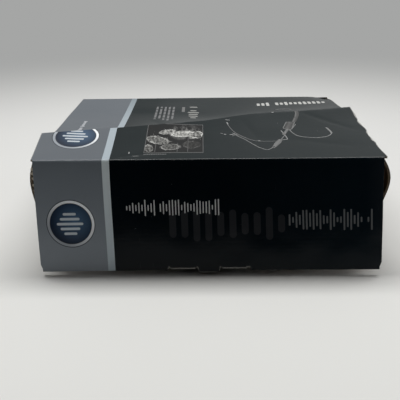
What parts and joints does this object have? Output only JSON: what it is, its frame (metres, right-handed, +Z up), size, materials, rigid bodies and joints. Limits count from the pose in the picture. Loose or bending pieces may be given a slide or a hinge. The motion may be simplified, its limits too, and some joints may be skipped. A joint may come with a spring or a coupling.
{
  "type": "boxed headset microphone",
  "caption": "Behind-the-head headset microphone in its closed retail carton with a buckled lid, foam insert, coiled cable, lockable connector, clip and leaflet.",
  "frame": {"origin": "centre of the carton's footprint, on the surface the carton stands on", "axes": "+X to the right along the front face, +Y to the back hinge, +Z up"},
  "size_m": [0.2581, 0.2088, 0.0945],
  "materials": {
    "printed_board": "printed carton board with a satin varnish, mostly black with grey and pale blue bands",
    "kraft_board": "uncoated brown kraft corrugated board",
    "insert_foam": "die-cut charcoal foam, matt",
    "leaflet_paper": "uncoated white paper",
    "steel_wire": "drawn stainless spring wire",
    "moulded_black": "fine-textured black moulding",
    "soft_rubber": "soft matt elastomer",
    "boom_black": "black coated metal",
    "capsule_brass": "gold-plated brass",
    "grille_steel": "etched mesh",
    "windscreen_foam": "open-cell black foam",
    "cable_jacket": "thin matt black cable jacket",
    "nickel_shell": "satin nickel plate"
  },
  "bodies": {
    "carton": {"wrap_bottom_panel": "printed_board", "wrap_back_panel": "printed_board", "tray_floor": "kraft_board", "tray_back_wall": "kraft_board", "tray_front_wall": "kraft_board", "tray_end_wall_left": "kraft_board", "tray_end_wall_right": "kraft_board", "foam_insert": "insert_foam", "instruction_leaflet": "leaflet_paper", "band_sleeve": "moulded_black", "sleeve_collars": "soft_rubber", "cable_coil": "cable_jacket", "connector_shell": "nickel_shell", "connector_insert": "moulded_black", "connector_contacts": "capsule_brass", "connector_boot": "soft_rubber", "button_spring": "steel_wire", "clip_base": "moulded_black", "clip_pin": "steel_wire", "clip_spring": "steel_wire"},
    "lid": {"lid_panel": "printed_board"},
    "flap": {"front_flap": "printed_board"},
    "tab": {"tuck_tab": "printed_board"},
    "band_left": {"band_wire_left": "steel_wire", "temple_block_left": "moulded_black", "ear_hinge_pin_left": "steel_wire", "boom_pivot_pin": "steel_wire", "cable_lead": "cable_jacket", "cable_keepers": "moulded_black"},
    "band_right": {"band_wire_right": "steel_wire", "temple_block_right": "moulded_black", "ear_hinge_pin_right": "steel_wire"},
    "hook_left": {"ear_hook_left": "steel_wire", "ear_tubing_left": "soft_rubber"},
    "hook_right": {"ear_hook_right": "steel_wire", "ear_tubing_right": "soft_rubber"},
    "boom": {"boom_knuckle": "moulded_black", "clamp_screw": "steel_wire", "boom_tube": "boom_black", "gooseneck_rear": "boom_black"},
    "boom_tip": {"gooseneck_front": "boom_black", "capsule_housing": "boom_black", "capsule_element": "capsule_brass", "capsule_grille": "grille_steel"},
    "foam_cap": {"windscreen": "windscreen_foam"},
    "button": {"connector_button": "nickel_shell"},
    "clip_arm": {"clip_jaw": "moulded_black"}
  },
  "joints": [
    {"name": "box_flap_hinge", "type": "hinge", "parent": "lid", "child": "flap", "pos_m": [0, -0.0975, 0.0845], "axis": [-1, 0, 0], "range_deg": [-8, 85]},
    {"name": "box_lid_hinge", "type": "hinge", "parent": "carton", "child": "lid", "pos_m": [0, 0.0975, 0.0845], "axis": [-1, 0, 0], "range_deg": [0, 180]},
    {"name": "box_tab_hinge", "type": "hinge", "parent": "flap", "child": "tab", "pos_m": [0, -0.10913, 0.00533], "axis": [1, 0, 0], "range_deg": [0, 70]},
    {"name": "headset_width_slide", "type": "slide", "parent": "carton", "child": "band_left", "axis": [-1, 0, 0], "range_m": [-0.001, 0.008]},
    {"name": "headset_width_slide_right", "type": "slide", "parent": "carton", "child": "band_right", "axis": [1, 0, 0], "range_m": [-0.001, 0.008]},
    {"name": "ear_hook_fold_left", "type": "hinge", "parent": "band_left", "child": "hook_left", "pos_m": [-0.075, -0.011, 0.022], "axis": [0, 1, 0], "range_deg": [0, 70]},
    {"name": "ear_hook_fold_right", "type": "hinge", "parent": "band_right", "child": "hook_right", "pos_m": [0.075, -0.011, 0.022], "axis": [0, -1, 0], "range_deg": [0, 70]},
    {"name": "boom_pivot", "type": "hinge", "parent": "band_left", "child": "boom", "pos_m": [-0.0826, -0.011, 0.0149], "axis": [-1, 0, 0], "range_deg": [0, 35]},
    {"name": "gooseneck_bend", "type": "hinge", "parent": "boom", "child": "boom_tip", "pos_m": [-0.0826, -0.04, 0.0161], "axis": [0, 0, 1], "range_deg": [-8, 15]},
    {"name": "windscreen_pull", "type": "slide", "parent": "boom_tip", "child": "foam_cap", "axis": [0.9659, -0.2588, 0], "range_m": [0, 0.014]},
    {"name": "lock_button_press", "type": "slide", "parent": "carton", "child": "button", "axis": [0, 0, -1], "range_m": [0, 0.0012], "deforming": ["button_spring"]},
    {"name": "clip_jaw_open", "type": "hinge", "parent": "carton", "child": "clip_arm", "pos_m": [0.006, 0.018, 0.0185], "axis": [0, 1, 0], "range_deg": [0, 16], "stiffness_Nm_per_rad": 0.05, "springref_deg": -11.46}
  ],
  "couplings": [
    {"joint": "headset_width_slide_right", "follows": "headset_width_slide", "ratio": 1}
  ]
}
